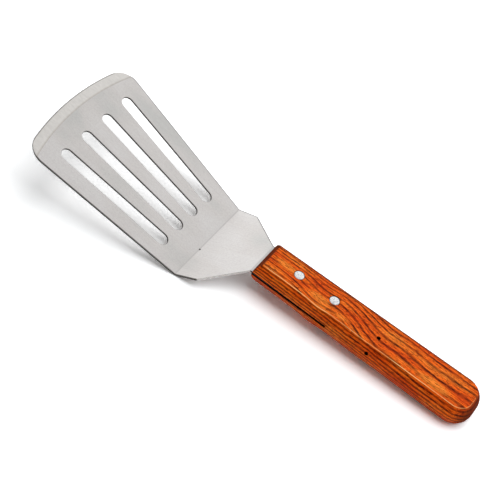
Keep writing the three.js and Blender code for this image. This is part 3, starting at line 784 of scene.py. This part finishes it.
def varnished_hardwood():
    """A reddish tropical hardwood under varnish: orange early wood between dark brown rings that wander
    along the handle and open out towards its rear, with pale figure, fine fibres and pores. The fibres
    break up the dark lines. Its end grain soaks up varnish and is browner. Its sides are painted a little
    darker as shade, its far arris is painted darker as shade and its near arris has a painted highlight."""
    material, tree, place = new_material("varnished hardwood")
    axes = add_node(tree, "SeparateXYZ", {"Vector": place})
    station, side, height = (axes.outputs[axis] for axis in "XYZ")

    # Growth rings on the upper face: dark late wood that fades out into orange early wood.
    across = add_node(tree, "Math", {0: side, 1: MAIN_RING_AT_FRONT}, operation="SUBTRACT")
    for start, end, rise in MAIN_RING_DRIFT:
        drift = add_node(
            tree, "MapRange",
            {"Value": station, "From Min": start, "From Max": end, "To Min": 0.0, "To Max": rise},
            interpolation_type="SMOOTHSTEP",
        )
        across = add_node(tree, "Math", {0: across, 1: drift}, operation="SUBTRACT")
    crowded_from, crowded_to, crowding = FAR_EDGE_RINGS
    crowded = add_node(
        tree, "MapRange",
        {"Value": side, "From Min": crowded_from, "From Max": crowded_to,
         "To Min": 0.0, "To Max": crowding},
        interpolation_type="SMOOTHSTEP",
    )
    across = add_node(tree, "Math", {0: across, 1: crowded})
    for sizes, sway in RING_SWAYS:
        wave_place = add_node(tree, "VectorMath", {0: place, 1: sizes}, operation="DIVIDE")
        waves = add_node(tree, "TexNoise", {"Vector": wave_place, "Scale": 1, "Detail": 2})
        swayed = add_node(tree, "MapRange", {"Value": waves, "To Min": -sway, "To Max": sway}, clamp=False)
        across = add_node(tree, "Math", {0: across, 1: swayed})
    spacing = add_node(
        tree, "MapRange",
        {"Value": station, "From Min": RING_SPACING_FRONT[0], "From Max": RING_SPACING_REAR[0],
         "To Min": RING_SPACING_FRONT[1], "To Max": RING_SPACING_REAR[1]},
    )
    depth = add_node(tree, "Math", {0: half_thickness, 1: height}, operation="SUBTRACT")
    through = add_node(tree, "Math", {0: depth, 1: RING_STEEPNESS, 2: across}, operation="MULTIPLY_ADD")
    rings = add_node(tree, "Math", {0: through, 1: spacing}, operation="DIVIDE")
    in_ring = add_node(tree, "Math", {0: rings}, operation="FRACT")
    late = add_node(
        tree, "ValToRGB", {"Fac": in_ring},
        [(0.0, mask(1)), (0.1, mask(0.8)), (0.2, mask(0)), (0.6, mask(0)), (0.78, mask(0.35)),
         (0.9, mask(0.95)), (1.0, mask(1))],
    )
    fine_rings = add_node(tree, "Math", {0: rings, 1: FINE_LINES_TO_RING}, operation="MULTIPLY")
    in_fine_ring = add_node(tree, "Math", {0: fine_rings}, operation="FRACT")
    fine_lines = add_node(
        tree, "ValToRGB", {"Fac": in_fine_ring},
        [(0.0, mask(0.4)), (0.16, mask(0)), (0.74, mask(0)), (1.0, mask(0.4))],
    )
    late = add_node(tree, "Math", {0: late, 1: fine_lines}, operation="MAXIMUM")

    # The same wood cut the other way, on the sides: thin layers that lie nearly flat.
    layer = add_node(
        tree, "MapRange",
        {"Value": station, "From Min": LAYER_FRONT[0], "From Max": LAYER_REAR[0],
         "To Min": LAYER_FRONT[1], "To Max": LAYER_REAR[1]},
    )
    ripple_place = add_node(tree, "VectorMath", {0: place, 1: LAYER_RIPPLE}, operation="DIVIDE")
    ripple = add_node(tree, "TexNoise", {"Vector": ripple_place, "Scale": 1, "Detail": 4})
    rippled = add_node(
        tree, "MapRange", {"Value": ripple, "To Min": -LAYER_SWAY, "To Max": LAYER_SWAY}, clamp=False
    )
    sunk = add_node(tree, "Math", {0: depth, 1: rippled})
    layers = add_node(tree, "Math", {0: sunk, 1: layer}, operation="DIVIDE")
    in_layer = add_node(tree, "Math", {0: layers}, operation="FRACT")
    side_lines = add_node(
        tree, "ValToRGB", {"Fac": in_layer},
        [(0.0, mask(0)), (0.34, mask(0)), (0.5, mask(0.9)), (0.74, mask(1)), (0.88, mask(0.1)),
         (1.0, mask(0))],
    )
    below_from, below_to = SIDE_LINES_BELOW
    below = add_node(tree, "MapRange", {"Value": depth, "From Min": below_from, "From Max": below_to})
    late = add_node(tree, "Mix", {"Factor": below, "A": late, "B": side_lines})

    # The lines fade here and there, are broken by the fibres, and all but stop in the pale figure.
    fading_place = add_node(tree, "VectorMath", {0: place, 1: LINE_FADING}, operation="DIVIDE")
    fading = add_node(tree, "TexNoise", {"Vector": fading_place, "Scale": 1, "Detail": 2})
    strength = add_node(
        tree, "MapRange",
        {"Value": fading, "From Min": 0.36, "From Max": 0.58, "To Min": 0.7, "To Max": 1.0},
    )
    darkness = add_node(tree, "Math", {0: late, 1: strength}, operation="MULTIPLY")
    break_place = add_node(tree, "VectorMath", {0: place, 1: LINE_BREAK}, operation="DIVIDE")
    breaks = add_node(tree, "TexNoise", {"Vector": break_place, "Scale": 1, "Detail": 2})
    broken = add_node(
        tree, "MapRange",
        {"Value": breaks, "From Min": 0.36, "From Max": 0.56, "To Min": 0.62, "To Max": 1.0},
    )
    darkness = add_node(tree, "Math", {0: darkness, 1: broken}, operation="MULTIPLY")
    patch_place = add_node(tree, "VectorMath", {0: place, 1: PALE_PATCH}, operation="DIVIDE")
    patches = add_node(tree, "TexNoise", {"Vector": patch_place, "Scale": 1, "Detail": 3})
    for along, beside, length, breadth in PALE_FIGURE:
        spot = add_node(
            tree, "Mapping",
            {"Vector": place, "Location": (along, beside, half_thickness),
             "Scale": (length, breadth, half_thickness)},
            vector_type="TEXTURE",
        )
        reach = add_node(tree, "VectorMath", {0: spot}, operation="LENGTH")
        pale = add_node(
            tree, "MapRange", {"Value": reach.outputs["Value"], "To Min": 0.3, "To Max": 0.0},
            interpolation_type="SMOOTHSTEP",
        )
        patches = add_node(tree, "Math", {0: patches, 1: pale})
        lineless = add_node(
            tree, "MapRange", {"Value": reach.outputs["Value"], "From Min": 0.3, "To Min": 0.2},
            interpolation_type="SMOOTHSTEP",
        )
        darkness = add_node(tree, "Math", {0: darkness, 1: lineless}, operation="MULTIPLY")
    # Painted shade: the sides are a little darker.
    patches = add_node(tree, "Math", {0: below, 1: SIDE_PAINTED_SHADE, 2: patches}, operation="MULTIPLY_ADD")
    early = add_node(
        tree, "ValToRGB", {"Fac": patches},
        [(0.32, colour("EC540C")), (0.5, colour("FF7018")), (0.72, colour("FF8E32"))],
    )
    grain = add_node(tree, "Mix", {"Factor": darkness, "A": early, "B": colour("2A0200")}, data_type="RGBA")

    # Fibres and pores run along the handle, and end grain is browned.
    fibre_place = add_node(tree, "VectorMath", {0: place, 1: FIBRE}, operation="DIVIDE")
    fibres = add_node(tree, "TexNoise", {"Vector": fibre_place, "Scale": 1, "Detail": 3})
    fibre_tone = add_node(
        tree, "ValToRGB", {"Fac": fibres}, [(0.35, colour("D4C5B5")), (0.6, colour("FFFFFF"))]
    )
    lined = add_node(
        tree, "Mix", {"Factor": 1.0, "A": grain, "B": fibre_tone}, data_type="RGBA", blend_type="MULTIPLY"
    )
    pore_place = add_node(tree, "VectorMath", {0: place, 1: PORE}, operation="DIVIDE")
    pores = add_node(tree, "TexNoise", {"Vector": pore_place, "Scale": 1, "Detail": 1})
    pore_mask = add_node(
        tree, "MapRange",
        {"Value": pores, "From Min": 0.57, "From Max": 0.67, "To Min": 0.0, "To Max": 0.8},
    )
    pored = add_node(
        tree, "Mix", {"Factor": pore_mask, "A": lined, "B": colour("4A1604")}, data_type="RGBA"
    )
    soaked = add_node(tree, "Attribute", attribute_name="end_grain")
    browned = add_node(tree, "Math", {0: soaked.outputs["Fac"], 1: 0.85}, operation="MULTIPLY")
    ended = add_node(tree, "Mix", {"Factor": browned, "A": pored, "B": colour("4E2013")}, data_type="RGBA")

    # Painted shade darkens the far arris, and a painted pale highlight runs along the near one.
    from_middle = add_node(
        tree, "Math", {0: station, 1: -math.tan(spread), 2: side}, operation="MULTIPLY_ADD"
    )
    at_arris = add_node(
        tree, "MapRange",
        {"Value": from_middle, "From Min": far_arris - FAR_ARRIS_SHADE_WIDTH, "From Max": far_arris,
         "To Min": 0.0, "To Max": 0.85},
    )
    ran_down = add_node(
        tree, "MapRange",
        {"Value": depth, "From Min": FAR_ARRIS_SHADE_WIDTH, "From Max": 2 * FAR_ARRIS_SHADE_WIDTH,
         "To Min": 1.0, "To Max": 0.0},
    )
    far_arris_shade = add_node(tree, "Math", {0: at_arris, 1: ran_down}, operation="MULTIPLY")
    far_arris_shaded = add_node(
        tree, "Mix", {"Factor": far_arris_shade, "A": ended, "B": colour("4A1804")}, data_type="RGBA"
    )
    highlight_attribute = add_node(tree, "Attribute", attribute_name="highlit")
    highlight_strength = add_node(
        tree, "MapRange",
        {"Value": fading, "From Min": 0.4, "From Max": 0.6, "To Min": 0.45, "To Max": 1.0},
    )
    past_front = add_node(
        tree, "MapRange", {"Value": station, "From Min": HIGHLIGHT_FROM[0], "From Max": HIGHLIGHT_FROM[1]}
    )
    highlight_strength = add_node(tree, "Math", {0: highlight_strength, 1: past_front}, operation="MULTIPLY")
    before_rear = add_node(
        tree, "MapRange",
        {"Value": station, "From Min": HIGHLIGHT_TO[0], "From Max": HIGHLIGHT_TO[1],
         "To Min": 1.0, "To Max": 0.4},
    )
    highlight_strength = add_node(tree, "Math", {0: highlight_strength, 1: before_rear}, operation="MULTIPLY")
    # Painted highlight: the near arris is lightened to a pale cream.
    painted_light_and_shade = add_node(tree, "Math", {0: highlight_attribute.outputs["Fac"], 1: highlight_strength}, operation="MULTIPLY")
    surface = add_node(tree, "Mix", {"Factor": painted_light_and_shade, "A": far_arris_shaded, "B": colour("FFBE78")}, data_type="RGBA")

    rough = add_node(
        tree, "MapRange",
        {"Value": fibres, "From Min": 0.3, "From Max": 0.7, "To Min": 0.4, "To Max": 0.28},
    )
    rough = add_node(tree, "Mix", {"Factor": soaked.outputs["Fac"], "A": rough, "B": 0.9})
    hollows = add_node(tree, "Math", {0: pore_mask, 1: -1.0, 2: fibres}, operation="MULTIPLY_ADD")
    bump = add_node(tree, "Bump", {"Height": hollows, "Strength": 0.12, "Distance": 0.1 * MM})
    shader = add_node(
        tree, "BsdfPrincipled",
        {"Base Color": surface, "Roughness": rough, "Normal": bump, "Specular IOR Level": 0.05},
    )
    add_node(tree, "OutputMaterial", {"Surface": shader})
    return material


def recess_wood_painted_shade():
    """The unvarnished walls of the saw slot and of the holes: rough, and painted dark as the shade in them.
    """
    material, tree, place = new_material("bare hardwood")
    shade_streak_place = add_node(tree, "VectorMath", {0: place, 1: SHADE_STREAK}, operation="DIVIDE")
    shade_streaks = add_node(tree, "TexNoise", {"Vector": shade_streak_place, "Scale": 1, "Detail": 2})
    tone = add_node(tree, "ValToRGB", {"Fac": shade_streaks}, [(0.3, colour("150803")), (0.7, colour("331608"))])
    shader = add_node(
        tree, "BsdfPrincipled", {"Base Color": tone, "Roughness": 0.9, "Specular IOR Level": 0.1}
    )
    add_node(tree, "OutputMaterial", {"Surface": shader})
    return material


finished_piece(handle, "handle", [varnished_hardwood(), recess_wood_painted_shade()])


# Rivets: two solid aluminium rivets clamp the wood on the tang. Each has a head on both faces of the
# handle, peened nearly flush and dressed, which leaves a low crown with a dull, dented skin.
RIVET_CROWN = 0.15
RIVET_RIM_RADIUS = 0.25
RIVET_RIM_MIDDLE = 0.3
RIVET_SIDES = 48
CROWN_RINGS = 8
DENT_SPACING = 0.9
DENT_DEPTH = 0.03
MOTTLE = (0.7, 0.7, 0.7)
crown_top = half_thickness + RIVET_CROWN
flat_radius = RIVET_HEAD_RADIUS - RIVET_RIM_RADIUS
rim_middle = RIVET_RIM_RADIUS * RIVET_RIM_MIDDLE
seat_height = half_thickness - RIVET_HEAD_DEPTH


def peened_aluminium():
    """Soft aluminium, hammered and dressed: pale, matt and mottled, with no clear reflections. Its oxide
    skin scatters part of the light, so it is not wholly metallic."""
    material, tree, place = new_material("peened aluminium")
    mottle_place = add_node(tree, "VectorMath", {0: place, 1: MOTTLE}, operation="DIVIDE")
    mottle = add_node(tree, "TexNoise", {"Vector": mottle_place, "Scale": 1, "Detail": 3})
    tone = add_node(tree, "ValToRGB", {"Fac": mottle}, [(0.36, colour("D6D8DA")), (0.6, colour("FCFDFE"))])
    bump = add_node(tree, "Bump", {"Height": mottle, "Strength": 0.4, "Distance": 0.1 * MM})
    shader = add_node(
        tree, "BsdfPrincipled",
        {"Base Color": tone, "Metallic": 0.7, "Roughness": 0.5, "Normal": bump},
    )
    add_node(tree, "OutputMaterial", {"Surface": shader})
    return material


# Half of a rivet's outline, as radius and height from the crown down to the middle of the shank.
rivet_outline = []
for crown_ring in range(1, CROWN_RINGS + 1):
    way_out = crown_ring / CROWN_RINGS
    rivet_outline.append((flat_radius * way_out, crown_top - RIVET_CROWN * way_out ** 2))
rivet_outline += [
    (RIVET_HEAD_RADIUS - rim_middle, half_thickness - rim_middle),
    (RIVET_HEAD_RADIUS, half_thickness - RIVET_RIM_RADIUS),
    (RIVET_HEAD_RADIUS, seat_height),
    (RIVET_SHANK_RADIUS, seat_height),
    (RIVET_SHANK_RADIUS, 0),
]
rivet_metal = peened_aluminium()
for name, station in RIVET_STATIONS.items():
    rivet = bmesh.new()
    at = rivet.verts.new((0, 0, crown_top))
    for radius, height in rivet_outline:
        end = rivet.verts.new((radius, 0, height))
        rivet.edges.new((at, end))
        at = end
    bmesh.ops.spin(
        rivet, geom=rivet.verts[:] + rivet.edges[:], cent=(0, 0, 0), axis=(0, 0, 1),
        angle=2 * math.pi, steps=RIVET_SIDES, use_merge=True,
    )
    bmesh.ops.remove_doubles(rivet, verts=rivet.verts, dist=NEAR)
    upper_half = rivet.verts[:] + rivet.edges[:] + rivet.faces[:]
    bmesh.ops.mirror(rivet, geom=upper_half, axis="Z", merge_dist=NEAR)
    bmesh.ops.recalc_face_normals(rivet, faces=rivet.faces)
    bmesh.ops.translate(rivet, verts=rivet.verts, vec=(station, 0, 0))
    for vert in rivet.verts:
        if abs(vert.co.z) > half_thickness - NEAR:
            dent = DENT_DEPTH * noise.noise(vert.co / DENT_SPACING)
            vert.co.z -= math.copysign(abs(dent), vert.co.z)
    finished_piece(rivet, name, [rivet_metal])


# Studio: a white sweep under one broad softbox above, behind and to the right, with white walls all
# round. The softbox is hidden from mirrored rays, so that the steel shows the walls. The turner is seen
# from the near side through a long lens, held at a tilt.
CAMERA_PLACE = Vector((0.15131, -0.56510, 0.62875))
CAMERA_AIM = Vector((-0.01326, 0.01299, 0.0))
CAMERA_ROLL_DEG = 22.32
CAMERA_LENS = 123.465
CAMERA_CLIP_START = 0.01
FLOOR_SIZE = 4.0
FLOOR_SHOWN = (1.48, 1.5, 1.515, 1)
FLOOR_WHITE_FROM = 0.35
FLOOR_WHITE_AT = 0.9
SOFTBOX_PLACE = Vector((0.5, 0.6, 1.1))
SOFTBOX_SIZE = (2.0, 1.8)
SOFTBOX_POWER = 19.0
FILL_FRONT_LOW = 0.62
FILL_FRONT_HIGH = 0.0
FILL_HIGH_AT = 0.65
FILL_BACK = 0.68
UNSCATTERED_BELOW = 0.5

camera = bpy.data.objects.new("camera", bpy.data.cameras.new("camera"))
camera.data.lens = CAMERA_LENS
camera.data.clip_start = CAMERA_CLIP_START
camera.location = CAMERA_PLACE
camera.rotation_mode = "QUATERNION"
level_view = (CAMERA_AIM - CAMERA_PLACE).to_track_quat("-Z", "Y")
camera.rotation_quaternion = level_view @ Quaternion((0, 0, 1), math.radians(CAMERA_ROLL_DEG))
bpy.context.scene.collection.objects.link(camera)
bpy.context.scene.camera = camera

softbox = bpy.data.objects.new("softbox", bpy.data.lights.new("softbox", "AREA"))
softbox.data.shape = "RECTANGLE"
softbox.data.size, softbox.data.size_y = SOFTBOX_SIZE
softbox.data.energy = SOFTBOX_POWER
softbox.location = SOFTBOX_PLACE
softbox.visible_glossy = False
bpy.context.scene.collection.objects.link(softbox)


def seen_directly(tree):
    """One for rays that show a surface as it is: from the camera, in a mirror or through glass.
    A ray that a matt surface has already scattered only carries light, and gives nought."""
    ray = add_node(tree, "LightPath")
    seen = ray.outputs["Is Camera Ray"]
    for kind in ("Is Glossy Ray", "Is Transmission Ray"):
        seen = add_node(tree, "Math", {0: seen, 1: ray.outputs[kind]}, operation="MAXIMUM")
    unscattered = add_node(
        tree, "Math", {0: ray.outputs["Diffuse Depth"], 1: UNSCATTERED_BELOW}, operation="LESS_THAN"
    )
    return add_node(tree, "Math", {0: seen, 1: unscattered}, operation="MULTIPLY")


# White paper floor: matt, and shown about 1.6 times as bright as it lights the turner and faintly cool,
# so that it is pure white but for the shadow where the turner comes near it. Far off it is plain white.
paper = bpy.data.materials.new("white paper")
paper.use_nodes = True
paper_tree = paper.node_tree
paper_tree.nodes.clear()
sheet_tone = add_node(
    paper_tree, "Mix",
    {"Factor": seen_directly(paper_tree), "A": colour("F8F8F8"), "B": FLOOR_SHOWN},
    data_type="RGBA",
)
matt = add_node(paper_tree, "BsdfDiffuse", {"Color": sheet_tone})
white = add_node(paper_tree, "Emission", {"Color": colour("FFFFFF"), "Strength": 1.0})
sheet_place = add_node(paper_tree, "TexCoord")
away = add_node(paper_tree, "VectorMath", {0: sheet_place.outputs["Object"]}, operation="LENGTH")
far_off = add_node(
    paper_tree, "MapRange",
    {"Value": away.outputs["Value"], "From Min": FLOOR_WHITE_FROM, "From Max": FLOOR_WHITE_AT},
    interpolation_type="SMOOTHSTEP",
)
far_white = add_node(
    paper_tree, "Math", {0: far_off, 1: seen_directly(paper_tree)}, operation="MULTIPLY"
)
sheet = add_node(paper_tree, "MixShader", {"Fac": far_white, 1: matt, 2: white})
add_node(paper_tree, "OutputMaterial", {"Surface": sheet})
floor_mesh = bpy.data.meshes.new("floor")
sweep = bmesh.new()
bmesh.ops.create_grid(sweep, x_segments=1, y_segments=1, size=FLOOR_SIZE)
sweep.to_mesh(floor_mesh)
sweep.free()
floor_mesh.materials.append(paper)
floor = bpy.data.objects.new("floor", floor_mesh)
bpy.context.scene.collection.objects.link(floor)

# White walls: seen as white low down and dimmer overhead, while they give matt surfaces a plain fill.
# It is brighter from behind, and in front it is brighter low down than higher up.
walls = bpy.data.worlds.new("white walls")
bpy.context.scene.world = walls
walls.use_nodes = True
walls_tree = walls.node_tree
walls_tree.nodes.clear()
direction = add_node(walls_tree, "TexCoord")
toward = add_node(walls_tree, "SeparateXYZ", {"Vector": direction.outputs["Generated"]})
shown = add_node(
    walls_tree, "ValToRGB", {"Fac": toward.outputs["Z"]},
    [(0.12, mask(1)), (0.36, mask(0.86)), (0.58, mask(0.97)), (0.68, mask(0.95)), (0.76, mask(0.6)),
     (0.86, mask(0.44))],
)
front = add_node(
    walls_tree, "MapRange",
    {"Value": toward.outputs["Z"], "From Max": FILL_HIGH_AT, "To Min": FILL_FRONT_LOW,
     "To Max": FILL_FRONT_HIGH},
)
given = add_node(
    walls_tree, "MapRange",
    {"Value": toward.outputs["Y"], "From Min": -1.0, "To Min": front, "To Max": FILL_BACK},
)
fill = add_node(
    walls_tree, "Mix", {"Factor": seen_directly(walls_tree), "A": given, "B": shown},
    data_type="RGBA",
)
sky = add_node(walls_tree, "Background", {"Color": fill, "Strength": 1.0})
add_node(walls_tree, "OutputWorld", {"Surface": sky})
bpy.context.scene.view_settings.view_transform = "Standard"
